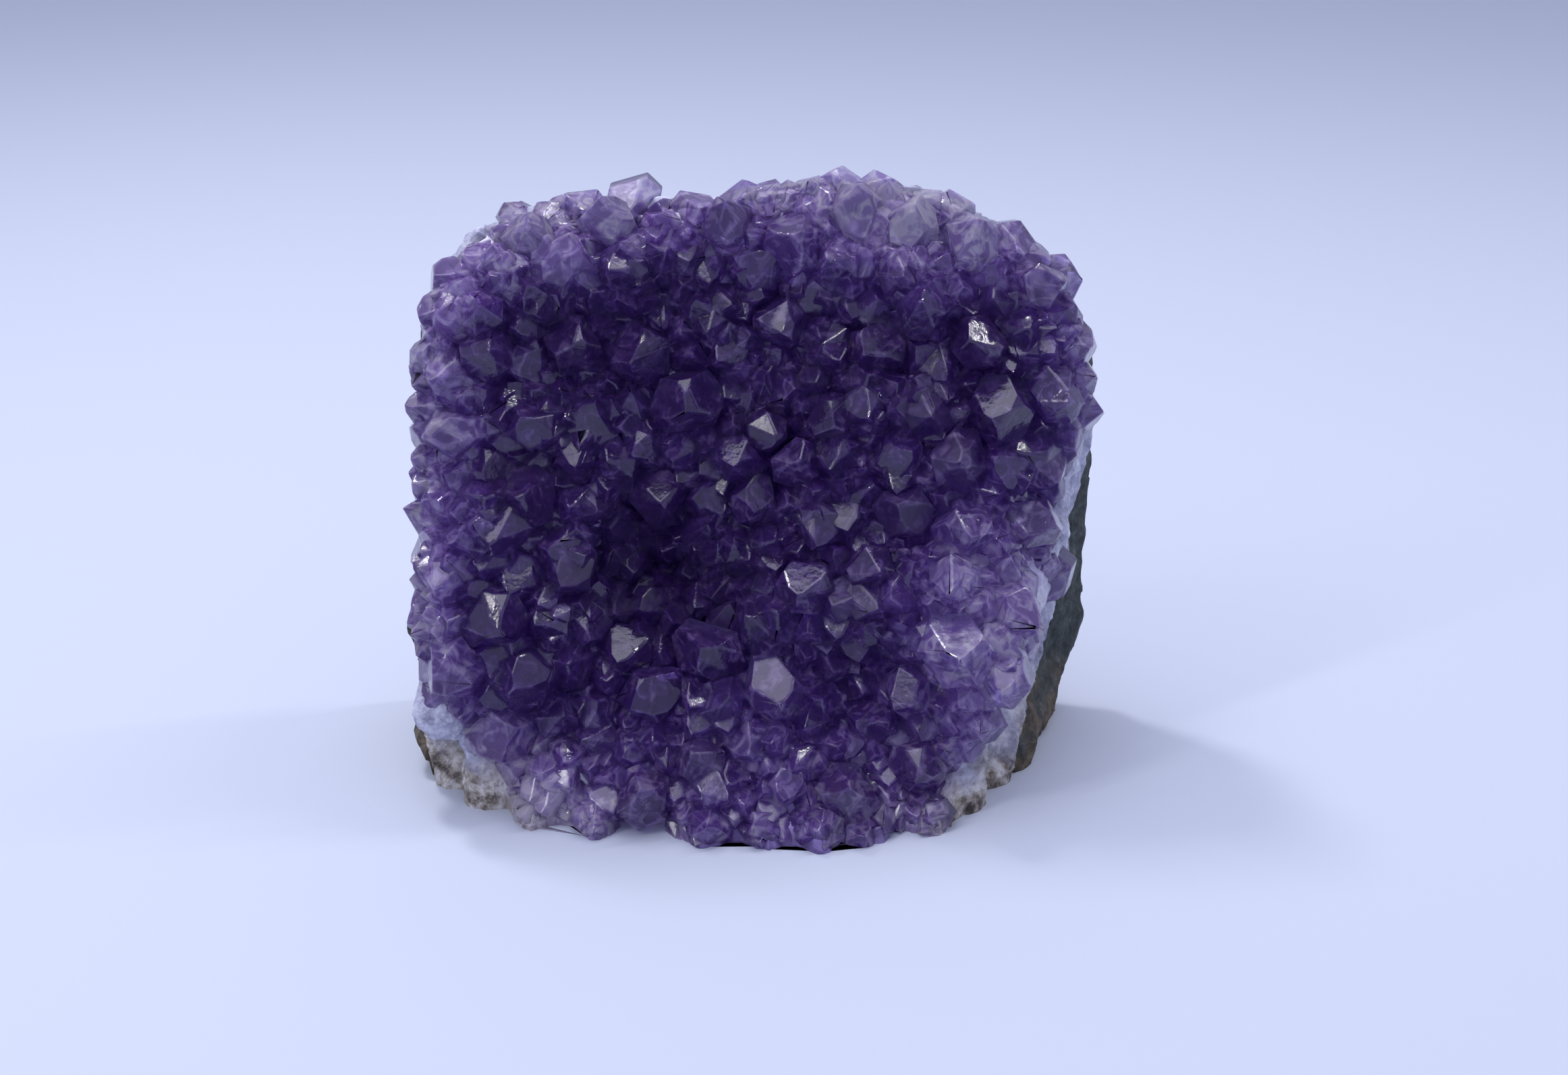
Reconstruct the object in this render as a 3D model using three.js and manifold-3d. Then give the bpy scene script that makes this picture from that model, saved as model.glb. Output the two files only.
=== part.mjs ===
// Amethyst cluster: a block broken out of the wall of a basalt geode and sawn flat underneath, so that it stands.
// From back to front it is dark basalt, a band of pale chalcedony, and a druse of intergrown amethyst.
// The largest points are crystals of their own, each seated in a socket of the druse.
// Millimetres, +Z up, the crystal face towards -Y. The origin is the middle of the base's bounding box.
import * as THREE from "three";
import { mergeVertices } from "three/addons/utils/BufferGeometryUtils.js";
import { ConvexGeometry } from "three/addons/geometries/ConvexGeometry.js";
import Module from "manifold-3d";

const wasm = await Module();
wasm.setup();

// Driving dimensions
const FACE_HEIGHT = 80; // the crystal face, from the saw cut to the top rim
const FACE_LEAN = 33; // how much further back the top of the face is than its foot
const FOOT_Y = -23; // the foot of the face before its points are added
const BACK_FOOT_Y = 20; // the back's rim, at the saw cut
const BACK_TOP_Y = 23.5; // the back's rim, at the top
const BACK_BULGE = 3; // how far the middle of the back stands out beyond its rim
const CRUST_FOOT = 9; // druse at the foot, from its bed to the chalcedony
const CRUST_TOP = 6; // druse at the top
const CRUST_RIM = 3; // druse where its bed curls back at the rim
const CRUST_CORNER = 2; // druse left at the broken lower corners
const RIND = 3; // chalcedony band
const SPREAD = 12; // how much wider the rock's back is than its front, at the foot's right side
const TOP_SLOPE = 8; // how much the broken top edge drops from front to back
const JOINT = 0.4; // gap kept between two layers
const SEAT = 0.3; // gap kept round a seated crystal
const ROOT = 3; // how deep a crystal's root goes below the bed
const CENTRE_Z = 40; // height of the face's middle, about which the outline turns
const RELIEF_BEHIND = 0.4; // how much of the bed's relief the chalcedony behind it follows
const TURNS = 40; // points round the outline of each layer
const DEEP = 60; // further than anything reaches
const WIDE = 1.2; // a share of the outline that takes in every layer

// The rim seen from the front, as [x, z], clockwise from the middle of the left side.
// It dips under the saw cut, which takes off everything below z = 0.
const RIM = [
  [-47, 42], [-46.5, 58], [-45.5, 69], [-41, 76.5], [-31, 80], [-18, 79.5], [-2, 81], [12, 82.5], [24, 80.5],
  [35, 76], [42, 70], [46, 60], [47, 50], [46, 38], [43.5, 26], [40, 14], [36.5, 3], [30, -7], [2, -10],
  [-26, -10], [-43.5, -4], [-47.5, 5], [-47.5, 20],
];

// Swells and hollows of the crystal bed: place, half-widths, and how far each pushes the bed (- is forwards).
const RELIEF = [
  { x: -13, z: 30, wx: 9, wz: 8, push: 7 }, // the deepest hollow, left of the middle
  { x: 13, z: 17, wx: 7, wz: 7, push: 5 }, // low hollow, right of the middle
  { x: -24, z: 15, wx: 7, wz: 6, push: 4 }, // low hollow, left
  { x: 4, z: 63, wx: 26, wz: 7, push: 3 }, // trough under the top rim
  { x: 32, z: 25, wx: 9, wz: 10, push: -6 }, // rounded swell, low on the right
  { x: 8, z: 29, wx: 10, wz: 5, push: -4 }, // ledge in the middle
  { x: -6, z: 18, wx: 10, wz: 5, push: -4 }, // swell above the foot
  { x: 0, z: 2, wx: 22, wz: 6, push: -2 }, // the foot's own bulge
];

const clamp = THREE.MathUtils.clamp;
const smooth = THREE.MathUtils.smoothstep;
const bell = (u, v) => Math.exp(-(u * u + v * v));

// A small repeatable source of random numbers from 0 to 1.
let seed = 20;
function chance() {
  seed = (seed * 1103515245 + 12345) % 2147483648;
  return seed / 2147483648;
}
const between = (low, high) => low + (high - low) * chance();

// ---- The outline, as a radius for each angle about the middle of the face ----

const rimCurve = new THREE.CatmullRomCurve3(RIM.map(([x, z]) => new THREE.Vector3(x, 0, z)), true);
const rimSamples = rimCurve
  .getPoints(240)
  .slice(0, -1)
  .map((p) => ({ angle: Math.atan2(p.z - CENTRE_Z, p.x), radius: Math.hypot(p.x, p.z - CENTRE_Z) }))
  .sort((a, b) => a.angle - b.angle);

function rimRadius(angle) {
  const at = THREE.MathUtils.euclideanModulo(angle + Math.PI, 2 * Math.PI) - Math.PI;
  const above = rimSamples.findIndex((s) => s.angle > at);
  const next = rimSamples[above < 0 ? 0 : above];
  const last = rimSamples.at(above <= 0 ? -1 : above - 1);
  const turn = (a) => THREE.MathUtils.euclideanModulo(a - last.angle, 2 * Math.PI);
  return THREE.MathUtils.lerp(last.radius, next.radius, turn(at) / turn(next.angle));
}

// How far a point of the face is from its middle, as a share of the way to the rim.
const share = (x, z) => Math.hypot(x, z - CENTRE_Z) / rimRadius(Math.atan2(z - CENTRE_Z, x));

// 1 at the two lower corners, where the crust is broken off and the layers under it show.
function corner(x, z) {
  return Math.max(bell((x + 47) / 10, (z - 3) / 10), bell((x - 38) / 9, (z - 4) / 12));
}

// ---- Surfaces, each giving y for a place on the face ----

// The geode wall's own sweep: it leans back, comes forwards at the left rim, and turns away at the lower right.
function sweep(x, z) {
  const lean = FACE_LEAN * Math.pow(clamp(z / FACE_HEIGHT, 0, 1.2), 0.75);
  const left = -6 * smooth(-x, 18, 48) * smooth(z, 5, 30);
  const right = 15 * Math.pow(smooth(x, 22, 48), 1.5) * (1 - smooth(z, 28, 62));
  const cheeks = 12 * Math.pow(Math.abs(x) / 46, 2) * (1 - smooth(z, 0, 22));
  const bowl = 4 * bell((x + 6) / 26, (z - 42) / 24);
  return FOOT_Y + lean + left + right + cheeks + bowl;
}

function relief(x, z) {
  return RELIEF.reduce((sum, r) => sum + r.push * bell((x - r.x) / r.wx, (z - r.z) / r.wz), 0);
}

// How thick the druse is, from its bed to the chalcedony. At the lower corners it is broken off thin.
function crust(x, z) {
  const whole = THREE.MathUtils.lerp(CRUST_FOOT, CRUST_TOP, smooth(z, 10, FACE_HEIGHT));
  return THREE.MathUtils.lerp(whole, CRUST_CORNER, corner(x, z));
}

function bed(x, z) {
  const curl = Math.max(0, crust(x, z) - CRUST_RIM) * Math.pow(smooth(share(x, z), 0.78, 1.02), 1.5);
  return sweep(x, z) + relief(x, z) + curl;
}

const crustBack = (x, z) => sweep(x, z) + RELIEF_BEHIND * relief(x, z) + crust(x, z);
const rindBack = (x, z) => crustBack(x, z) + RIND;

function back(x, z) {
  const rim = THREE.MathUtils.lerp(BACK_FOOT_Y, BACK_TOP_Y, clamp(z / FACE_HEIGHT, 0, 1));
  return rim + BACK_BULGE * (1 - Math.pow(clamp(share(x, z), 0, 1), 2));
}

// How far the wall's rock is pushed in x and z. It spreads behind the lower right rim,
// its broken top edge slopes down to the back, and it is lumpy all over.
function spread(x, z, y) {
  const depth = clamp((y - crustBack(x, z)) / (BACK_FOOT_Y - crustBack(x, z) + RIND), 0, 1);
  const lowRight = smooth(x, 0, 34) * (1 - smooth(z, -8, 62));
  const lumps = 0.9 * Math.sin(x / 7 + z / 11) * Math.sin(z / 6 - y / 5);
  return [SPREAD * Math.pow(depth, 1.5) * lowRight + lumps, lumps - TOP_SLOPE * depth * smooth(z, 45, 82)];
}

// ---- Solids ----

// A layer: a drum whose two faces are surfaces over the outline, drawn as rings about the middle.
// reach gives, for each point of the rim, how far out the layer goes as a share of the outline.
// shift gives how far a point is pushed in x and z, once its depth is known.
function layer({ front, rear, reach, shift = () => [0, 0], frontRings, rearRings, sideRings }) {
  const points = [];
  const rings = [];
  const addRing = (s, depth) => {
    rings.push(points.length / 3);
    for (let i = 0; i < TURNS; i++) {
      const angle = (2 * Math.PI * i) / TURNS;
      const rimX = rimRadius(angle) * Math.cos(angle);
      const rimZ = CENTRE_Z + rimRadius(angle) * Math.sin(angle);
      const out = s * reach(rimX, rimZ);
      const x = rimX * out;
      const z = CENTRE_Z + (rimZ - CENTRE_Z) * out;
      const y = THREE.MathUtils.lerp(front(x, z), rear(x, z), depth);
      const [across, up] = shift(x, z, y);
      points.push(x + across, y, z + up);
    }
  };
  for (let i = 1; i <= frontRings; i++) addRing(i / frontRings, 0);
  for (let i = 1; i < sideRings; i++) addRing(1, i / sideRings);
  for (let i = rearRings; i >= 1; i--) addRing(i / rearRings, 1);
  const frontMiddle = points.length / 3;
  points.push(0, front(0, CENTRE_Z), CENTRE_Z, 0, rear(0, CENTRE_Z), CENTRE_Z);
  const faces = [];
  for (let i = 0; i < TURNS; i++) {
    const j = (i + 1) % TURNS;
    const [first, last] = [rings[0], rings.at(-1)];
    faces.push(frontMiddle, first + i, first + j, frontMiddle + 1, last + j, last + i);
    for (let k = 0; k + 1 < rings.length; k++) {
      const [a, b] = [rings[k], rings[k + 1]];
      faces.push(a + i, b + i, b + j, a + i, b + j, a + j);
    }
  }
  const geometry = new THREE.BufferGeometry();
  geometry.setAttribute("position", new THREE.Float32BufferAttribute(points, 3));
  geometry.setIndex(faces);
  return geometry;
}

function solid(geometry) {
  const bare = geometry.clone();
  bare.deleteAttribute("normal");
  bare.deleteAttribute("uv");
  const merged = mergeVertices(bare, 1e-4);
  return new wasm.Manifold(
    new wasm.Mesh({
      numProp: 3,
      vertProperties: merged.attributes.position.array,
      triVerts: new Uint32Array(merged.index.array),
    }),
  );
}

// Cutting can leave loose chips: only the largest body is kept.
function largest(manifold) {
  return manifold.decompose().reduce((a, b) => (b.volume() > a.volume() ? b : a));
}

function geometryOf(manifold) {
  const mesh = manifold.getMesh();
  const geometry = new THREE.BufferGeometry();
  geometry.setAttribute("position", new THREE.BufferAttribute(mesh.vertProperties, 3));
  geometry.setIndex(new THREE.BufferAttribute(mesh.triVerts, 1));
  return geometry;
}

const sawCut = solid(new THREE.BoxGeometry(3 * DEEP, 3 * DEEP, DEEP).translate(0, 0, -DEEP / 2));
const sawn = (manifold) => manifold.subtract(sawCut);

// ---- Crystals ----

const FACE_SLOPE = THREE.MathUtils.degToRad(51.8); // a rhombohedral face's normal from the crystal's axis

// A quartz point as the planes that bound it, each { normal, reach }, in the crystal's own frame, +Z to the tip.
// Its six end faces are three large and three small in turn, as quartz grows them.
function pointPlanes(radius, length) {
  const planes = [{ normal: new THREE.Vector3(0, 0, -1), reach: ROOT }];
  const tip = length * Math.cos(FACE_SLOPE);
  const flattened = between(0, Math.PI); // the way in which this crystal is narrower
  for (let i = 0; i < 6; i++) {
    const turn = (i * Math.PI) / 3;
    const side = new THREE.Vector3(Math.cos(turn), Math.sin(turn), 0);
    const width = radius * (1 - 0.14 * Math.cos(2 * (turn - flattened)));
    planes.push({ normal: side, reach: width * between(0.9, 1.08) });
    const end = side.clone().multiplyScalar(Math.sin(FACE_SLOPE));
    end.z = Math.cos(FACE_SLOPE);
    planes.push({ normal: end, reach: tip * (i % 2 ? between(1.02, 1.25) : between(0.88, 1.03)) });
  }
  return planes;
}

// The corners of the convex body that these planes bound, each moved out by grow.
function corners(planes, grow) {
  const found = [];
  const reach = planes.map((p) => p.reach + grow);
  const cross = (i, j) => planes[i].normal.clone().cross(planes[j].normal);
  for (let i = 0; i < planes.length; i++)
    for (let j = i + 1; j < planes.length; j++)
      for (let k = j + 1; k < planes.length; k++) {
        const volume = planes[i].normal.dot(cross(j, k));
        if (Math.abs(volume) < 1e-6) continue;
        const at = cross(j, k)
          .multiplyScalar(reach[i])
          .add(cross(k, i).multiplyScalar(reach[j]))
          .add(cross(i, j).multiplyScalar(reach[k]))
          .divideScalar(volume);
        if (planes.every((p, n) => p.normal.dot(at) < reach[n] + 1e-6)) found.push(at);
      }
  return found;
}

// The bed's outward normal, splayed outwards near the rim.
function growthDirection(x, z) {
  const STEP = 3;
  const slopeX = (bed(x + STEP, z) - bed(x - STEP, z)) / (2 * STEP);
  const slopeZ = (bed(x, z + STEP) - bed(x, z - STEP)) / (2 * STEP);
  const splay = 0.7 * smooth(share(x, z), 0.78, 1);
  const outwards = new THREE.Vector3(x, 0, z - CENTRE_Z).normalize().multiplyScalar(splay);
  return new THREE.Vector3(slopeX * 0.6, -1, slopeZ * 0.6).normalize().add(outwards).normalize();
}

// Stands a crystal on the bed. lean tips it by that many degrees, towards a random side.
function placement(x, z, lean) {
  const axis = growthDirection(x, z);
  const tipped = new THREE.Vector3(between(-1, 1), between(-1, 1), between(-1, 1)).cross(axis).normalize();
  axis.applyAxisAngle(tipped, THREE.MathUtils.degToRad(lean));
  const turn = new THREE.Quaternion().setFromUnitVectors(new THREE.Vector3(0, 0, 1), axis);
  turn.multiply(new THREE.Quaternion().setFromAxisAngle(new THREE.Vector3(0, 0, 1), between(0, Math.PI)));
  const foot = new THREE.Vector3(x, bed(x, z), z);
  return new THREE.Matrix4().compose(foot, turn, new THREE.Vector3(1, 1, 1));
}

function crystalSolid(planes, place, grow) {
  return solid(new ConvexGeometry(corners(planes, grow)).applyMatrix4(place));
}

// The large points: [x, z, radius, how far the tip stands above the bed, lean in degrees].
const LARGE_POINTS = [
  // top rim, left to right
  [-31, 76, 3.4, 5.5, 12], [-21, 77, 3.6, 6, 10], [-4, 77, 3.2, 5.5, 14], [5, 75, 4, 6, 8], [13, 79, 3.6, 6, 12],
  [21, 77, 3.2, 6, 16], [29, 75, 3.6, 6, 12], [38, 69, 3.2, 6, 14],
  // upper face
  [-37, 62, 3.6, 5.5, 16], [-26, 62, 4, 6, 14], [-17, 60, 4.4, 6, 12], [3, 64, 3.6, 5.5, 14], [16, 61, 4, 6, 12],
  [30, 62, 3.6, 6, 18], [41, 55, 3.6, 5.5, 14], [33, 53, 4.4, 6, 14],
  // middle of the face
  [-42, 52, 3.6, 5, 12], [-10, 54, 4.4, 7, 8], [1, 50, 3, 5, 24], [10, 52, 3.2, 5.5, 12], [5, 46, 3.4, 6, 14],
  [27, 47, 4, 6, 10], [39, 45, 3.8, 5.5, 14], [-32, 43, 4.4, 6, 14], [-14, 41, 4.2, 6, 16], [-1, 41, 3.2, 5.5, 14],
  [20, 40, 3.6, 5.5, 20], [28, 38, 4, 6, 12], [38, 37, 3.6, 6, 10],
  // lower face
  [6, 31, 3.8, 6, 12], [15, 33, 3.2, 5.5, 14], [-36, 28, 4.2, 6, 12], [27, 24, 5, 6.5, 8], [35, 27, 3.6, 5.5, 14],
  [-42, 21, 3.8, 5, 12], [-15, 17, 3.8, 6, 14], [-7, 22, 4.4, 7, 10], [2, 18, 4, 6.5, 12], [21, 17, 3.4, 5.5, 14],
  // foot
  [-36, 11, 4.2, 6, 10], [-28, 13, 3.4, 5.5, 14], [-16, 5, 3.8, 6, 12], [-8, 9, 3.2, 5.5, 18], [12, 5, 4.2, 6, 10],
  [22, 8, 3.6, 5.5, 12],
];

function buildCrystals(behindDruse) {
  const crystals = [];
  LARGE_POINTS.forEach(([x, z, radius, stand, lean], n) => {
    const planes = pointPlanes(radius, stand);
    const place = placement(x, z, lean);
    const grown = crystalSolid(planes, place, SEAT);
    let body = sawn(crystalSolid(planes, place, 0)).subtract(behindDruse);
    for (const other of crystals) body = body.subtract(other.grown);
    crystals.push({ name: `point_${String(n + 1).padStart(2, "0")}`, body: largest(body), grown });
  });
  return crystals;
}

// Small points that are one with the bed: plain six-sided pyramids on a loose grid, between the large ones.
function smallPoints() {
  const PITCH = 7.6;
  const points = [];
  for (let row = 0; row < 12; row++)
    for (let column = -7; column <= 7; column++) {
      const x = (column + (row % 2) / 2) * PITCH + between(-1.2, 1.2);
      const z = row * PITCH * 0.87 + between(-1.2, 1.2);
      const taken = LARGE_POINTS.some(([px, pz, radius]) => Math.hypot(px - x, pz - z) < radius + 1.2);
      if (taken || share(x, z) > 0.95 || corner(x, z) > 0.35) continue;
      const planes = pointPlanes(DEEP, between(3.6, 4.8)); // only the end faces bound a pyramid
      planes[0].reach = 1;
      points.push(crystalSolid(planes, placement(x, z, between(0, 18)), 0));
    }
  return points;
}

// ---- The cluster ----

// Everything behind a surface, moved forwards by gap. Two neighbours are both trimmed by it,
// so that their faces run side by side.
function behind(surface, gap) {
  const front = (x, z) => surface(x, z) - gap;
  const rear = (x, z) => surface(x, z) + DEEP;
  return solid(layer({ front, rear, reach: () => WIDE, frontRings: 7, rearRings: 1, sideRings: 1 }));
}

function buildDruse(crystals, behindDruse) {
  const reach = (x, z) => 0.985 - 0.13 * corner(x, z);
  let body = solid(layer({ front: bed, rear: rindBack, reach, frontRings: 9, rearRings: 1, sideRings: 1 }));
  for (const small of smallPoints()) body = body.add(small);
  for (const crystal of crystals) body = body.subtract(crystal.grown);
  return largest(sawn(body).subtract(behindDruse));
}

// The wall that the druse grew on: chalcedony in front, basalt behind.
function wall(reach) {
  const front = (x, z) => crustBack(x, z) - 2;
  return sawn(solid(layer({ front, rear: back, reach, shift: spread, frontRings: 5, rearRings: 5, sideRings: 4 })));
}

function buildRind() {
  const reach = (x, z) => 0.99 - 0.02 * corner(x, z);
  return largest(wall(reach).intersect(behind(crustBack, 0)).subtract(behind(rindBack, JOINT)));
}

function buildBasalt() {
  return largest(wall(() => 1).intersect(behind(rindBack, 0)));
}

const finishes = {
  amethyst: new THREE.MeshStandardMaterial({ color: 0x4a3580, roughness: 0.15, metalness: 0 }),
  druse: new THREE.MeshStandardMaterial({ color: 0x3a2c66, roughness: 0.25, metalness: 0 }),
  chalcedony: new THREE.MeshStandardMaterial({ color: 0xb9b8c8, roughness: 0.5, metalness: 0 }),
  basalt: new THREE.MeshStandardMaterial({ color: 0x4a4f55, roughness: 0.9, metalness: 0 }),
};

const cluster = new THREE.Group();
function add(name, manifold, finish) {
  const mesh = new THREE.Mesh(geometryOf(manifold), finish);
  mesh.name = name;
  cluster.add(mesh);
}

const behindDruse = behind(crustBack, JOINT);
const crystals = buildCrystals(behindDruse);
add("basalt_matrix", buildBasalt(), finishes.basalt);
add("chalcedony_rind", buildRind(), finishes.chalcedony);
add("amethyst_druse", buildDruse(crystals, behindDruse), finishes.druse);
for (const crystal of crystals) add(crystal.name, crystal.body, finishes.amethyst);

// Sets the origin to the middle of the base of the whole cluster's box.
const box = new THREE.Box3().setFromObject(cluster, true);
const middle = box.getCenter(new THREE.Vector3());
cluster.position.set(-middle.x, -middle.y, -box.min.z);

export default cluster;
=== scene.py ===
import math
import random

import bpy
from mathutils import Matrix, Vector
from mathutils.bvhtree import BVHTree


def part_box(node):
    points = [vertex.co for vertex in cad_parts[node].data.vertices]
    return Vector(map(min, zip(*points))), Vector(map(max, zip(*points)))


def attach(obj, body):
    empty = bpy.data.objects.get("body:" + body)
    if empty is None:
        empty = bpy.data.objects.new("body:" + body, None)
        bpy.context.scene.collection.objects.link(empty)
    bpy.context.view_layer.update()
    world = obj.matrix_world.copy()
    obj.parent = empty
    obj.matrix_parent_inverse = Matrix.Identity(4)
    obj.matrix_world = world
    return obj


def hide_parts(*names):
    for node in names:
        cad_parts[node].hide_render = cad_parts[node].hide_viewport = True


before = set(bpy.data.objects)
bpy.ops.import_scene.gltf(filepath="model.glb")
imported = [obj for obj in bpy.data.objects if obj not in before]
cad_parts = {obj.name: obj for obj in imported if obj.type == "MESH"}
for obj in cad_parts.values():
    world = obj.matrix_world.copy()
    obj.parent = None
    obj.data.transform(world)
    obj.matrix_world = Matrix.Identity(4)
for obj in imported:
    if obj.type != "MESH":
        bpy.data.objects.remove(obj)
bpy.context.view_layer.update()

# An amethyst cluster: a block of geode wall, sawn flat underneath. Lengths are in metres, +Z is up
# and the crystal face looks towards -Y, as in the frame.
MM = 0.001
CHANCE = random.Random(7)

POINT_NODES = sorted(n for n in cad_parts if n.startswith("point_"))
FACE_MIDDLE = Vector((0.5 * MM, 0, 40 * MM))  # the middle of the crystal face, seen from the front
HALF_WIDTH = 47.5 * MM
HALF_HEIGHT = 42 * MM


# ---- Helpers ----


def deselect():
    for o in bpy.context.selected_objects:
        o.select_set(False)


def only(obj):
    """Selects one object and nothing else, and makes it active."""
    deselect()
    obj.select_set(True)
    bpy.context.view_layer.objects.active = obj


def bell(*offsets):
    """1 at the middle, falling off smoothly. Each offset is a distance over its half-width."""
    return math.exp(-sum(o * o for o in offsets))


def ramp(value, low, high):
    """0 below low, 1 above high, smooth in between."""
    t = min(1, max(0, (value - low) / (high - low)))
    return t * t * (3 - 2 * t)


def apply_modifier(obj, kind, **settings):
    """Adds a modifier with its settings and applies it."""
    only(obj)
    modifier = obj.modifiers.new(kind.lower(), kind)
    for name, value in settings.items():
        setattr(modifier, name, value)
    bpy.ops.object.modifier_apply(modifier=modifier.name)


def copy_of(name, node):
    """A copy of a CAD node's mesh as a new piece, its loose triangles merged."""
    piece = bpy.data.objects.new(name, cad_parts[node].data.copy())
    piece.data.materials.clear()
    bpy.context.scene.collection.objects.link(piece)
    only(piece)
    bpy.ops.object.mode_set(mode="EDIT")
    bpy.ops.mesh.select_all(action="SELECT")
    bpy.ops.mesh.remove_doubles(threshold=0.002 * MM)
    bpy.ops.object.mode_set(mode="OBJECT")
    return piece


def saw_flat(piece):
    """Saws the piece off at the plane that it stands on."""
    only(piece)
    bpy.ops.object.mode_set(mode="EDIT")
    bpy.ops.mesh.select_all(action="SELECT")
    bpy.ops.mesh.bisect(plane_co=(0, 0, 0), plane_no=(0, 0, -1), use_fill=True, clear_outer=True)
    bpy.ops.object.mode_set(mode="OBJECT")


def roughen(piece, kind, size, strength):
    """Pushes the surface in and out by a solid pattern with features of that size."""
    pattern = bpy.data.textures.new(f"{piece.name}_{kind.lower()}", kind)
    pattern.noise_scale = size
    apply_modifier(
        piece, "DISPLACE", texture=pattern, texture_coords="GLOBAL", strength=strength, mid_level=0.5
    )


def finish(piece, slot, material, *nodes):
    """Gives a piece its material, hangs it under the root, and hides the CAD nodes that it stands for.
    """
    piece.data.materials.clear()
    piece.data.materials.append(material)
    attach(piece, "root")
    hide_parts(*nodes)


# ---- Materials ----


def colour(hex_code):
    """An sRGB hex colour as the linear colour that a shader takes."""
    parts = [int(hex_code[i : i + 2], 16) / 255 for i in (1, 3, 5)]
    return [c / 12.92 if c <= 0.04045 else ((c + 0.055) / 1.055) ** 2.4 for c in parts] + [1]


def per(size):
    """A pattern's scale for features of that size, in metres."""
    return 1 / size


def add_node(tree, kind, links=None, inputs=None, **settings):
    """Adds a node with its settings, its socket values and the sockets that feed it."""
    node = tree.nodes.new(kind)
    for name, value in settings.items():
        setattr(node, name, value)
    for name, value in (inputs or {}).items():
        node.inputs[name].default_value = value
    for name, source in (links or {}).items():
        tree.links.new(source, node.inputs[name])
    return node


def new_material(name):
    """A material with only its Principled shader, and the piece's own coordinates."""
    material = bpy.data.materials.new(name)
    material.use_nodes = True
    tree = material.node_tree
    tree.nodes.clear()
    shader = add_node(tree, "ShaderNodeBsdfPrincipled")
    add_node(tree, "ShaderNodeOutputMaterial", {"Surface": shader.outputs[0]})
    place = add_node(tree, "ShaderNodeTexCoord").outputs["Object"]
    return material, tree, shader, place


def set_ramp(node, stops):
    """Gives a colour ramp its stops, each (position, hex colour)."""
    elements = node.color_ramp.elements
    while len(elements) < len(stops):
        elements.new(1)
    for element, (position, hex_code) in zip(elements, stops):
        element.position = position
        element.color = colour(hex_code)


def stored(tree, attribute):
    """A value that each vertex carries."""
    return add_node(tree, "ShaderNodeAttribute", attribute_name=attribute).outputs["Fac"]


def noise(tree, place, size, detail, **inputs):
    """A cloudy pattern with features of that size."""
    inputs = {"Scale": per(size), "Detail": detail, **inputs}
    return add_node(tree, "ShaderNodeTexNoise", {"Vector": place}, inputs).outputs["Fac"]


def remapped(tree, value, source, target=(0, 1), **settings):
    """A value stretched from one range to another, and held at its ends."""
    inputs = {"From Min": source[0], "From Max": source[1], "To Min": target[0], "To Max": target[1]}
    return add_node(tree, "ShaderNodeMapRange", {"Value": value}, inputs, **settings).outputs[0]


def calculated(tree, operation, *terms):
    """A calculation with sockets and plain numbers."""
    node = add_node(tree, "ShaderNodeMath", operation=operation)
    for slot, term in enumerate(terms):
        if isinstance(term, (int, float)):
            node.inputs[slot].default_value = term
        else:
            tree.links.new(term, node.inputs[slot])
    return node.outputs[0]


def amethyst():
    """Amethyst, iron-coloured quartz, as grown.

    It gives glassy faces with fine growth hillocks over a cloudy violet body, deep in the hollow with
    painted shade and milky where the points are pale, partly with painted overhead light at the rim.
    Towards the root the body turns greyish."""
    material, tree, shader, place = new_material("amethyst natural faces")
    growth, tone, frost, border = (stored(tree, name) for name in ("growth", "tone", "frost", "border"))
    veil = noise(tree, place, 2.6 * MM, 6, Distortion=1.5)
    veil_swing = remapped(tree, veil, (0.45, 0.72), (-0.15, 0.5))
    # Painted highlight: each face's border is made paler, partly for worn edges and partly for light
    # refracted at the edges.
    worn_edge_and_highlight = calculated(tree, "MULTIPLY", border, 0.16)
    veiling = calculated(tree, "MULTIPLY_ADD", tone, 1.2, 0.75)
    swing = calculated(tree, "MULTIPLY_ADD", veil_swing, veiling, worn_edge_and_highlight)
    shade = calculated(tree, "ADD", tone, swing)
    violet = add_node(tree, "ShaderNodeValToRGB", {"Fac": shade})
    set_ramp(violet, [(0, "#553680"), (0.25, "#7855a4"), (0.55, "#ae94d1"), (1, "#e6ddf1")])
    tip = remapped(tree, growth, (0.15, 0.6), interpolation_type="SMOOTHSTEP")
    body = add_node(
        tree,
        "ShaderNodeMix",
        {"Factor": tip, "B": violet.outputs[0]},
        {"A": colour("#6f6596")},
        data_type="RGBA",
    )
    tree.links.new(body.outputs["Result"], shader.inputs["Base Color"])
    cloud = noise(tree, place, 5 * MM, 3)
    dulled = remapped(tree, cloud, (0.4, 0.7), (0.03, 0.15))
    rough = add_node(tree, "ShaderNodeMapRange", {"Value": frost, "To Min": dulled}, {"To Max": 0.4})
    tree.links.new(rough.outputs[0], shader.inputs["Roughness"])
    hillocks = noise(tree, place, 1.4 * MM, 4, Roughness=0.55)
    waves = add_node(
        tree, "ShaderNodeBump", {"Height": hillocks}, {"Strength": 0.6, "Distance": 0.15 * MM}
    )
    etching = add_node(
        tree, "ShaderNodeTexVoronoi", {"Vector": place}, {"Scale": per(0.5 * MM)}, feature="SMOOTH_F1"
    ).outputs["Distance"]
    bump = add_node(
        tree,
        "ShaderNodeBump",
        {"Height": etching, "Normal": waves.outputs[0]},
        {"Strength": 0.3, "Distance": 0.03 * MM},
    )
    tree.links.new(bump.outputs[0], shader.inputs["Normal"])
    shader.inputs["IOR"].default_value = 1.544
    shader.inputs["Transmission Weight"].default_value = 0.8
    shader.inputs["Subsurface Weight"].default_value = 1
    shader.inputs["Subsurface Radius"].default_value = (0.7, 0.45, 1)
    shader.inputs["Subsurface Scale"].default_value = 1.5 * MM
    return material


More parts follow.
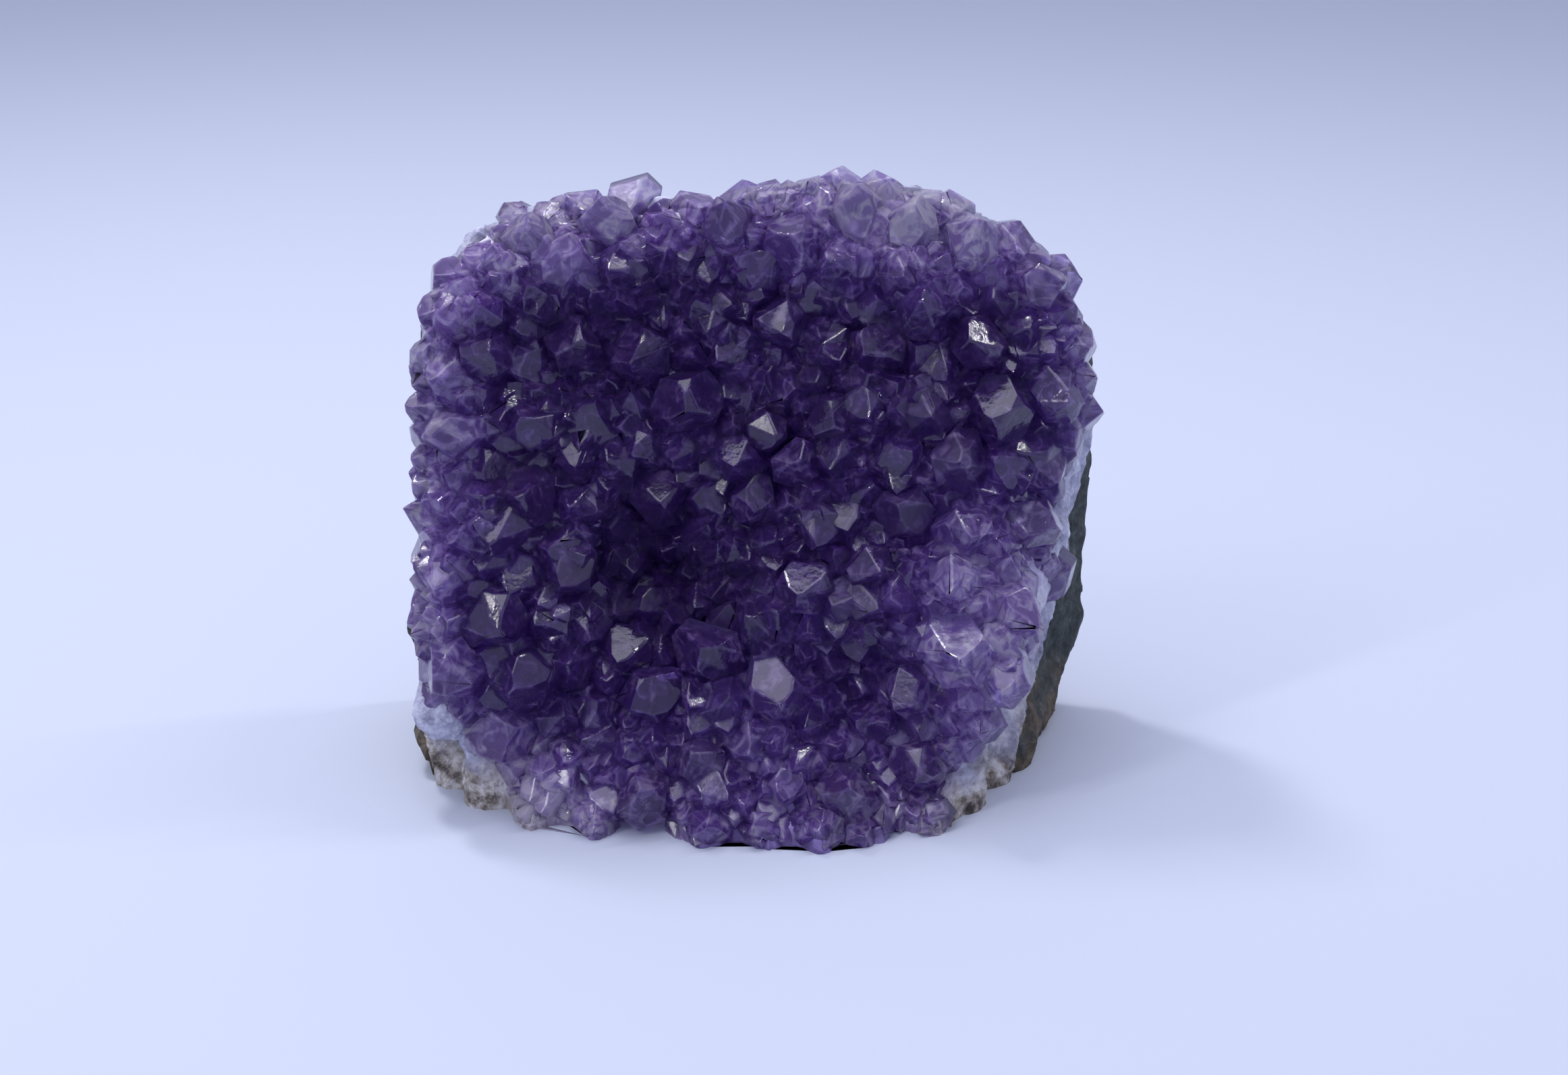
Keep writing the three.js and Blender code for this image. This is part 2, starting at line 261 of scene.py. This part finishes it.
def milky_quartz():
    """Milky quartz, the crystals' grown-together roots.

    It gives a grainy, cloudy surface between the points, violet to white, deeper violet in the hollow
    with painted shade and darker towards the foot, and grey where it meets the rock."""
    material, tree, shader, place = new_material("milky quartz broken")
    cloud = noise(tree, place, 4 * MM, 7, Distortion=1)
    cloudy = calculated(tree, "ADD", cloud, stored(tree, "tone"))
    tint = add_node(tree, "ShaderNodeValToRGB", {"Fac": cloudy})
    set_ramp(tint, [(0.4, "#4a3672"), (0.7, "#8f7cba"), (0.95, "#c6bce0"), (1, "#e0dcec")])
    pale = speckled(tree, place, 3 * MM, PALE_ROCK)
    dirty = speckled(tree, place, 2.5 * MM, DIRTY_ROCK)
    grey = mixed(tree, low_down(tree, place, 1 * MM, 9 * MM), pale, dirty)
    body = mixed(tree, stored(tree, "rock"), tint.outputs[0], grey)
    tree.links.new(body, shader.inputs["Base Color"])
    shader.inputs["Roughness"].default_value = 0.35
    shader.inputs["IOR"].default_value = 1.54
    grainy(tree, place, shader, 0.9 * MM, 0.35 * MM)
    return material


def speckled(tree, place, size, stops):
    """A grainy mottling with features of that size, coloured by the stops."""
    tint = add_node(tree, "ShaderNodeValToRGB", {"Fac": noise(tree, place, size, 9, Roughness=0.7)})
    set_ramp(tint, stops)
    return tint.outputs[0]


BORDER_SWING = 14 * MM  # how far the border between two kinds of rock wanders up and down


def low_down(tree, place, low, high):
    """1 at the foot of the piece, 0 above a height, with an uneven border."""
    height = add_node(tree, "ShaderNodeSeparateXYZ", {"Vector": place}).outputs["Z"]
    uneven = noise(tree, place, 8 * MM, 6)
    border = calculated(tree, "MULTIPLY_ADD", uneven, -2 * BORDER_SWING, height)
    return remapped(tree, border, (low - BORDER_SWING, high - BORDER_SWING), (1, 0))


def mixed(tree, share, first, second):
    """A blend of two colours."""
    return add_node(
        tree, "ShaderNodeMix", {"Factor": share, "A": first, "B": second}, data_type="RGBA"
    ).outputs["Result"]


def grainy(tree, place, shader, size, depth):
    """A rough, broken surface with grains of that size."""
    grain = noise(tree, place, size, 7, Roughness=0.72)
    bump = add_node(tree, "ShaderNodeBump", {"Height": grain}, {"Strength": 0.9, "Distance": depth})
    tree.links.new(bump.outputs[0], shader.inputs["Normal"])


# Stops for rock with much quartz in it, clean and stained.
PALE_ROCK = [(0.3, "#453f4c"), (0.4, "#85849e"), (0.5, "#aeafc9"), (0.66, "#dfe0f0")]
DIRTY_ROCK = [(0.36, "#2c2523"), (0.44, "#6f6359"), (0.52, "#a59d95"), (0.62, "#d6d2d2")]


def chalcedony():
    """Chalcedony and fine quartz, broken.

    It gives a grainy band, off-white to blue-grey, with brown stains and dark specks near the foot."""
    material, tree, shader, place = new_material("chalcedony broken edge")
    pale = speckled(tree, place, 4 * MM, PALE_ROCK)
    dirty = speckled(tree, place, 2.5 * MM, DIRTY_ROCK)
    body = mixed(tree, low_down(tree, place, 3 * MM, 12 * MM), pale, dirty)
    tree.links.new(body, shader.inputs["Base Color"])
    shader.inputs["Roughness"].default_value = 0.55
    grainy(tree, place, shader, 0.8 * MM, 0.4 * MM)
    return material


FRESH_BASALT = [(0.32, "#272b2c"), (0.5, "#434a4b"), (0.62, "#575e5e"), (0.72, "#8c918b")]
RUSTY_BASALT = [(0.36, "#2b2722"), (0.5, "#5c4c3c"), (0.64, "#94816a")]


def basalt():
    """Weathered basalt.

    It gives a fine-grained, dark grey-green, matt surface, brown with rust near the foot."""
    material, tree, shader, place = new_material("basalt weathered")
    fresh = speckled(tree, place, 1.8 * MM, FRESH_BASALT)
    rusty = speckled(tree, place, 3 * MM, RUSTY_BASALT)
    body = mixed(tree, low_down(tree, place, 1 * MM, 11 * MM), fresh, rusty)
    tree.links.new(body, shader.inputs["Base Color"])
    shader.inputs["Roughness"].default_value = 0.9
    grainy(tree, place, shader, 1.6 * MM, 1 * MM)
    return material


def floor_paper():
    """Pale card. It gives an even, matt ground."""
    material, _, shader, _ = new_material("floor card")
    shader.inputs["Base Color"].default_value = colour("#b9bfd0")
    shader.inputs["Roughness"].default_value = 0.8
    return material


# ---- Camera, floor and lights ----

CAMERA_TARGET = Vector((3.5 * MM, -9.91 * MM, 40 * MM))
CAMERA_ELEVATION = math.radians(22)
CAMERA_DISTANCE = 292 * MM
FLOOR_RADIUS = 4


def set_camera():
    """Looks at the crystal face from the front, a little from above."""
    towards = Vector((0, -math.cos(CAMERA_ELEVATION), math.sin(CAMERA_ELEVATION)))
    bpy.ops.object.camera_add(
        location=CAMERA_TARGET + CAMERA_DISTANCE * towards,
        rotation=(math.pi / 2 - CAMERA_ELEVATION, 0, 0),
    )
    camera = bpy.context.active_object
    camera.data.lens = 50
    camera.data.clip_start = 0.01
    bpy.context.scene.camera = camera


def softbox(name, place, aim, size, power, tint):
    """A rectangular lamp, aimed at a place, with its power in watts."""
    bpy.ops.object.light_add(type="AREA", location=place)
    lamp = bpy.context.active_object
    lamp.name = name
    lamp.data.shape = "RECTANGLE"
    lamp.data.size, lamp.data.size_y = size
    lamp.data.energy = power
    lamp.data.color = colour(tint)[:3]
    lamp.rotation_euler = (Vector(aim) - Vector(place)).to_track_quat("-Z", "Y").to_euler()


def set_stage():
    """The camera, a pale floor, one large soft light and three small ones for the crystals' glints."""
    set_camera()
    bpy.ops.mesh.primitive_circle_add(
        vertices=96, radius=FLOOR_RADIUS, fill_type="NGON", location=(0, 0, 0)
    )
    floor = bpy.context.active_object
    floor.name = "floor"
    floor.data.materials.append(floor_paper())

    softbox("top_softbox", (-0.1, 0.02, 0.75), (0, 0, 0), (0.55, 0.55), 2.3, "#f4f5ff")
    softbox("key_lamp", (-0.22, 0.25, 0.62), (0, 0, 0.04), (0.07, 0.14), 1.6, "#ffffff")
    softbox("left_strip", (-0.35, -0.25, 0.45), (0, 0, 0.04), (0.01, 0.3), 0.7, "#ffffff")
    softbox("right_strip", (0.3, 0.1, 0.5), (0, 0, 0.04), (0.01, 0.3), 0.6, "#ffffff")

    world = bpy.data.worlds.new("studio")
    bpy.context.scene.world = world
    world.use_nodes = True
    background = world.node_tree.nodes["Background"]
    background.inputs["Color"].default_value = colour("#ccd1ec")
    background.inputs["Strength"].default_value = 0.88
    bpy.context.scene.view_settings.view_transform = "Standard"


# ---- Quartz points, each modelled once in units of its own radius ----

FACE_SLOPE = math.radians(51.8)  # a rhombohedral face's normal from the crystal's axis
BLANK_RADIUS = 1.5  # the prism that a point is cut from
BLANK_TOP = 0.5  # how far that prism reaches above the tip


def cut_off(reach, normal):
    """Cuts off what lies beyond a plane of the edited mesh, and closes the cut."""
    bpy.ops.mesh.select_all(action="SELECT")
    bpy.ops.mesh.bisect(plane_co=reach * normal, plane_no=normal, use_fill=True, clear_outer=True)


def set_growth(piece, axis):
    """Stores how far up its crystal each point lies: 0 at the root, 1 at the tip."""
    heights = [v.co.dot(axis) for v in piece.data.vertices]
    low, high = min(heights), max(heights)
    set_values(piece, "growth", [(h - low) / (high - low) for h in heights])


def chip(point, outwards, depth):
    """Breaks off what sticks out furthest in one direction."""
    only(point)
    reach = max(v.co.dot(outwards) for v in point.data.vertices)
    bpy.ops.object.mode_set(mode="EDIT")
    cut_off(reach - depth, outwards)
    bpy.ops.object.mode_set(mode="OBJECT")


def single_point(height, root):
    """A six-sided prism that three large and three small faces bring to a tip."""
    deselect()
    bpy.ops.mesh.primitive_cylinder_add(
        vertices=6,
        radius=BLANK_RADIUS,
        depth=height + root + BLANK_TOP,
        location=(0, 0, (height + BLANK_TOP - root) / 2),
    )
    point = bpy.context.active_object
    bpy.ops.object.transform_apply()
    bpy.ops.object.mode_set(mode="EDIT")
    flattened = CHANCE.uniform(0, math.pi)
    for side in range(6):
        turn = math.radians(60 * side)
        outwards = Vector((math.cos(turn), math.sin(turn), 0))
        width = 1 - 0.13 * math.cos(2 * (turn - flattened))
        cut_off(width * CHANCE.uniform(0.88, 1.1), outwards)
        slope = outwards * math.sin(FACE_SLOPE) + Vector((0, 0, math.cos(FACE_SLOPE)))
        large = side % 2 == 0
        share = CHANCE.uniform(0.86, 1.0) if large else CHANCE.uniform(0.98, 1.22)
        cut_off(height * math.cos(FACE_SLOPE) * share, slope)
    bpy.ops.object.mode_set(mode="OBJECT")
    return point


def soften_faces(point, border, rise):
    """Raises the middle of each broad face a little and marks its border.

    Along the border the amethyst is painted paler: partly worn edges that scatter more light, partly a
    painted highlight of light refracted at the edges."""
    only(point)
    bpy.ops.object.mode_set(mode="EDIT")
    bpy.ops.mesh.select_all(action="DESELECT")
    bpy.ops.object.mode_set(mode="OBJECT")
    corners = point.data.vertices
    for face in point.data.polygons:
        around = sum((corners[a].co - corners[b].co).length for a, b in face.edge_keys)
        face.select = face.area > 1.6 * border * around
    bpy.ops.object.mode_set(mode="EDIT")
    bpy.ops.mesh.inset(thickness=border, depth=rise, use_individual=True, use_even_offset=False)
    bpy.ops.object.mode_set(mode="OBJECT")
    set_values(point, "border", [0.0 if v.select else 1.0 for v in point.data.vertices])


def set_values(piece, attribute, values):
    """Stores one value for each of the piece's vertices."""
    attributes = piece.data.attributes
    layer = attributes.get(attribute) or attributes.new(attribute, "FLOAT", "POINT")
    layer.data.foreach_set("value", values)


def fused(pieces):
    """Joins closed pieces into one solid, two by two."""
    while len(pieces) > 1:
        for piece, other in zip(pieces[::2], pieces[1::2]):
            apply_modifier(piece, "BOOLEAN", operation="UNION", solver="MANIFOLD", object=other)
            bpy.data.objects.remove(other)
        pieces = pieces[::2]
    return pieces[0]


def quartz_point(name, height, root, chips=1, steps=0):
    """One point, or one with smaller ones grown against it in step with it."""
    points = [single_point(height, root)]
    for _ in range(chips):
        turn, rise = CHANCE.uniform(0, math.tau), CHANCE.uniform(0.1, 0.9)
        outwards = Vector((math.cos(turn), math.sin(turn), rise)).normalized()
        chip(points[0], outwards, CHANCE.uniform(0.04, 0.16))
    for _ in range(steps):
        turn = CHANCE.uniform(0, math.tau)
        smaller = single_point(height, root + 0.2)
        size = CHANCE.uniform(0.45, 0.75)
        away = Vector((math.cos(turn), math.sin(turn), 0)) * CHANCE.uniform(0.5, 0.8)
        smaller.data.transform(Matrix.Translation(away) @ Matrix.Scale(size, 4))
        points.append(smaller)
    point = fused(points)
    point.name = name
    soften_faces(point, 0.08, 0.015)
    set_growth(point, Vector((0, 0, 1)))
    return point


# ---- The druse ----

# The small points' sizes, each (smallest and largest radius in mm, closest distance as a share of two
# neighbours' radii, how much they lean).
SMALL_SIZES = ((3.0, 4.0, 0.5, 0.2), (2.1, 2.7, 0.52, 0.25), (1.4, 1.8, 0.66, 0.3))
CLEAR = 1.9  # points further apart than this share of their radii don't touch
SEAM_GROWTH = 0.45  # a seam between two points counts as halfway up a crystal
SEAM_WORN_EDGE_AND_HIGHLIGHT = 0.5  # and as half a worn edge, with half its painted highlight
SHRINKAGE = 0.8 * MM  # how far the mass draws back between the points, once they are placed


def edge_share(place):
    """How far a place is from the middle of the face, seen from the front: 1 at the rim."""
    across = abs(place.x - FACE_MIDDLE.x) / HALF_WIDTH
    up = abs(place.z - FACE_MIDDLE.z) / HALF_HEIGHT
    return (across**5 + up**5) ** 0.2


def tone_and_painted_light_at(place):
    """How pale the amethyst is: paler at the rim, partly the stone's own milky points and partly painted
    overhead light; paler on the lower right swell and on patches along the top rim, the stone's own
    colour; deeper in the hollow, which is painted shade.
    """
    x, z = place.x / MM, place.z / MM
    # The rim is paler: partly the stone's own milky points, partly painted overhead light.
    tone = 0.06 + 0.5 * ramp(edge_share(place), 0.76, 1.0)
    tone += 0.52 * bell((x - 32) / 11, (z - 25) / 17)
    tone += 0.15 * bell((z - 6) / 9) + 0.5 * bell((x + 32) / 10, (z - 4) / 5)
    tone += 0.5 * bell((x - 24) / 12, (z - 77) / 7) + 0.4 * bell((x + 27) / 9, (z - 79) / 6)
    tone += 0.12 * bell((x - 3) / 8, (z - 17) / 8)
    # Painted shade: the tone drops in the hollow of the face, where the points shade each other.
    tone -= 0.2 * bell((x + 12) / 12, (z - 30) / 10) + 0.1 * bell((x - 33) / 8, (z - 58) / 7)
    return tone


def rock_at(place):
    """How far the quartz has given way to grey rock: at the two lower corners and behind the rim."""
    x, z = place.x / MM, place.z / MM
    corners = 2.5 * bell((x + 49) / 10, (z - 4) / 13) + 0.7 * bell((x + 33) / 11, (z + 1) / 5)
    corners += 2.5 * bell((x - 37) / 11, z / 10)
    edge = ramp(edge_share(place), 0.98, 1.06) * ramp(z, 3, 12) + 1.6 * bell((x - 47) / 6, (z - 25) / 26)
    return min(1, corners + edge)


def dip_at(place):
    """How much lower than elsewhere the points stand: at the foot and along the uneven top rim."""
    x, z = place.x / MM, place.z / MM
    uneven = 2.2 * bell((x + 40) / 7) + 1.6 * bell((x + 11) / 7)
    uneven += 1.2 * bell((x - 30) / 6) - 0.8 * bell((x + 26) / 6)
    return (1.2 * bell(z / 5) + uneven * ramp(z, 68, 76)) * MM


def swell_corners(piece, most):
    """Fills out the block's two lower corners, where the rock is rounded and lies bare."""
    moves = []
    for v in piece.data.vertices:
        x, z = v.co.x / MM, v.co.z / MM
        share = bell((x + 46) / 9, z / 10) + 0.6 * bell((x - 36) / 8, z / 9)
        moves.append(most * share * v.normal)
    for v, move in zip(piece.data.vertices, moves):
        v.co += move


SAW_ALLOWANCE = 3 * MM  # what the foot gains below the saw's plane, for the saw to take off


def lengthen_foot(piece, height):
    """Draws what lies below a height down past the saw's plane, so that the saw leaves it whole."""
    for v in piece.data.vertices:
        if v.co.z < height:
            v.co.z -= SAW_ALLOWANCE


def druse_mass():
    """The quartz under the points: a smoothed skin round the CAD druse."""
    mass = copy_of("druse_mass", "amethyst_druse")
    apply_modifier(mass, "REMESH", mode="VOXEL", voxel_size=0.7 * MM)
    apply_modifier(mass, "SMOOTH", factor=0.5, iterations=32)
    roughen(mass, "VORONOI", 2.2 * MM, 0.9 * MM)
    roughen(mass, "CLOUDS", 1.1 * MM, 0.6 * MM)
    swell_corners(mass, 2.4 * MM)
    lengthen_foot(mass, 2.5 * MM)
    saw_flat(mass)
    set_values(mass, "tone", [tone_and_painted_light_at(v.co) - 0.6 * bell(v.co.z / (4 * MM)) for v in mass.data.vertices])
    set_values(mass, "rock", [rock_at(v.co) for v in mass.data.vertices])
    return mass


class Ground:
    """Which places of a surface are taken, kept in a grid of cells."""

    def __init__(self, cell):
        self.cell = cell
        self.cells = {}

    def key(self, place):
        """The cell that a place lies in."""
        return tuple(int(c // self.cell) for c in place)

    def take(self, place, radius):
        """Marks a place as taken, out to a radius."""
        self.cells.setdefault(self.key(place), []).append((place, radius))

    def is_free(self, place, radius, crowding):
        """Whether nothing stands nearer than that share of the two radii together."""
        i, j, k = self.key(place)
        for a in (i - 1, i, i + 1):
            for b in (j - 1, j, j + 1):
                for c in (k - 1, k, k + 1):
                    for other, other_radius in self.cells.get((a, b, c), ()):
                        if (other - place).length < crowding * (radius + other_radius):
                            return False
        return True


def wall_direction(place):
    """Which way the points grow out of the geode's wall: forwards and up, splayed towards the rim."""
    x, z = (place.x - FACE_MIDDLE.x) / HALF_WIDTH, (place.z - FACE_MIDDLE.z) / HALF_HEIGHT
    return Vector((0.5 * x**3, -1, 0.35 + 0.4 * z**3)).normalized()


def small_points(kinds, spots):
    """Copies of the quartz points, one on each spot of (place, direction, radius, tone)."""
    copies = []
    for place, direction, radius, tone in spots:
        kind = CHANCE.choice(kinds)
        mesh = kind.data.copy()
        turn = direction.to_track_quat("Z", "Y").to_matrix().to_4x4()
        spin = Matrix.Rotation(CHANCE.uniform(0, math.tau), 4, "Z")
        mesh.transform(Matrix.Translation(place) @ turn @ spin @ Matrix.Scale(radius, 4))
        copy = bpy.data.objects.new("small_point", mesh)
        bpy.context.scene.collection.objects.link(copy)
        set_values(copy, "tone", [1 + tone] * len(mesh.vertices))
        set_values(copy, "frost", [CHANCE.random() ** 3] * len(mesh.vertices))
        copies.append((copy, place, radius))
    return copies


def large_points():
    """The large points: each CAD crystal, its corners chipped and its edges worn."""
    copies = []
    for node in POINT_NODES:
        point = copy_of(f"amethyst_{node}", node)
        only(point)
        bpy.ops.object.mode_set(mode="EDIT")
        bpy.ops.mesh.select_all(action="SELECT")
        bpy.ops.mesh.dissolve_limited(angle_limit=math.radians(1))
        bpy.ops.object.mode_set(mode="OBJECT")
        for _ in range(3):
            outwards = Vector((CHANCE.uniform(-1, 1), -1, CHANCE.uniform(-1, 1))).normalized()
            chip(point, outwards, CHANCE.uniform(0.1, 0.5) * MM)
        soften_faces(point, 0.3 * MM, 0.05 * MM)
        front = [p for p in point.data.polygons if p.normal.y < -0.3]
        set_growth(point, sum((p.area * p.normal for p in front), Vector()).normalized())
        middle = sum((v.co for v in point.data.vertices), Vector()) / len(point.data.vertices)
        tone = 1 + tone_and_painted_light_at(middle) + CHANCE.uniform(-0.08, 0.12)
        set_values(point, "tone", [tone] * len(point.data.vertices))
        set_values(point, "frost", [CHANCE.random() ** 3] * len(point.data.vertices))
        copies.append((point, middle, max(point.dimensions) / 2))
    return copies


def grown_together(copies):
    """Fuses points, each (object, place, radius), into one solid.

    Points that stand clear of each other are joined first, so that few solids are left to fuse."""
    layers = []
    for copy, place, radius in copies:
        for taken, members in layers:
            if taken.is_free(place, radius, CLEAR):
                break
        else:
            taken, members = Ground(16 * MM), []
            layers.append((taken, members))
        taken.take(place, radius)
        members.append(copy)
    for _, members in layers:
        only(members[0])
        for copy in members:
            copy.select_set(True)
        bpy.ops.object.join()
    return fused([members[0] for _, members in layers])


def mend_seams(piece):
    """Gives the vertices where two points meet the mean values of the vertices round them.

    A point's tone is stored with 1 added, so a vertex that the fusing made is known by its tone, 0."""
    mesh = piece.data
    values = {name: [0.0] * len(mesh.vertices) for name in ("tone", "frost", "growth", "border")}
    for name, column in values.items():
        mesh.attributes[name].data.foreach_get("value", column)
    seam = [tone < 0.5 for tone in values["tone"]]
    sums = {v: [0, 0.0, 0.0] for v, on_seam in enumerate(seam) if on_seam}
    for edge in mesh.edges:
        for here, there in (edge.vertices, reversed(edge.vertices)):
            if seam[here] and not seam[there]:
                total = sums[here]
                total[0] += 1
                total[1] += values["tone"][there]
                total[2] += values["frost"][there]
    for v, (count, tone, frost) in sums.items():
        values["tone"][v] = tone / count if count else 1.2
        values["frost"][v] = frost / count if count else 0.2
        values["growth"][v] = SEAM_GROWTH
        values["border"][v] = SEAM_WORN_EDGE_AND_HIGHLIGHT
    values["tone"] = [tone - 1 for tone in values["tone"]]
    for name, column in values.items():
        set_values(piece, name, column)


def bears_points(place, normal):
    """Whether points grow there: not behind the rim, underneath, or low on the right side."""
    return normal.y <= 0.3 and normal.z >= -0.6 and (normal.x <= 0.5 or place.z >= 48 * MM)


def taken_ground(mass):
    """The druse's ground with the large points' places taken."""
    shape = BVHTree.FromObject(mass, bpy.context.evaluated_depsgraph_get())
    ground = Ground(6 * MM)
    for node in POINT_NODES:
        low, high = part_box(node)
        size = (high - low) / 4
        near = shape.find_nearest((low + high) / 2)
        ground.take(near[0], 0.7 * (size.x + size.z) / 2)
    return ground


def find_spots(faces, ground):
    """Where the small points stand, the larger first: (place, direction, radius, tone) for each."""
    spots = []
    for smallest, largest, crowding, spread in SMALL_SIZES:
        for place, normal in faces:
            if not bears_points(place, normal):
                continue
            edge = ramp(edge_share(place), 0.8, 1)
            radius = CHANCE.uniform(smallest, largest - 0.4 * (largest - smallest) * edge) * MM
            radius *= 1 - 0.3 * bell(place.z / (7 * MM))
            if place.z < 0.1 * radius or not ground.is_free(place, radius, crowding):
                continue
            if rock_at(place) > CHANCE.uniform(0.35, 0.7):
                continue
            ground.take(place, radius)
            lean = Vector([CHANCE.gauss(0, 1) for _ in range(3)]) * spread
            wall = wall_direction(place)
            side = 1 - max(0, normal.dot(wall))
            direction = ((0.6 - 0.3 * side) * normal + wall + lean).normalized()
            sink = (0.05 + 0.3 * side) * radius + dip_at(place)
            tone = tone_and_painted_light_at(place) + CHANCE.uniform(-0.08, 0.1)
            spots.append((place - sink * normal, direction, radius, tone))
    return spots


def build_druse(material, mass_material):
    """The points, grown into each other, and the milky quartz that they stand on."""
    mass = druse_mass()
    faces = [(p.center.copy(), p.normal.copy()) for p in mass.data.polygons]
    CHANCE.shuffle(faces)
    ground = taken_ground(mass)
    kinds = [quartz_point(f"squat_{i}", CHANCE.uniform(0.85, 1.15), 1.6) for i in range(8)]
    kinds += [quartz_point(f"stepped_{i}", CHANCE.uniform(0.9, 1.15), 1.4, 0, 2) for i in range(5)]
    spots = find_spots(faces, ground)
    points = grown_together(large_points() + small_points(kinds, spots))
    for kind in kinds:
        bpy.data.objects.remove(kind)
    mend_seams(points)
    saw_flat(points)
    points.name = "druse_points"
    inwards = [-SHRINKAGE * (1 - rock_at(v.co)) * v.normal for v in mass.data.vertices]
    for v, move in zip(mass.data.vertices, inwards):
        if v.co.z > 0.1 * MM:
            v.co += move
    finish(points, "amethyst", material, *POINT_NODES)
    finish(mass, "amethyst", mass_material, "amethyst_druse")


# ---- The wall's rock ----


def build_rock(name, node, voxel, swell, breaks, slot, material):
    """A rock layer: the CAD layer with a broken surface, swollen to meet its neighbours."""
    rock = copy_of(name, node)
    apply_modifier(rock, "REMESH", mode="VOXEL", voxel_size=voxel)
    swell_corners(rock, 2 * MM)
    apply_modifier(rock, "DISPLACE", strength=swell, mid_level=0)
    lengthen_foot(rock, 1 * MM)
    for kind, size, strength in breaks:
        roughen(rock, kind, size, strength)
    saw_flat(rock)
    finish(rock, slot, material, node)


set_stage()
build_druse(amethyst(), milky_quartz())
build_rock(
    "basalt_block",
    "basalt_matrix",
    0.8 * MM,
    0.2 * MM,
    [("VORONOI", 14 * MM, 4 * MM), ("VORONOI", 4 * MM, 0.9 * MM), ("CLOUDS", 1.8 * MM, 0.6 * MM)],
    "basalt",
    basalt(),
)
build_rock(
    "chalcedony_band",
    "chalcedony_rind",
    0.65 * MM,
    0.5 * MM,
    [("CLOUDS", 5 * MM, 1.4 * MM), ("CLOUDS", 1.2 * MM, 0.7 * MM)],
    "chalcedony",
    chalcedony(),
)
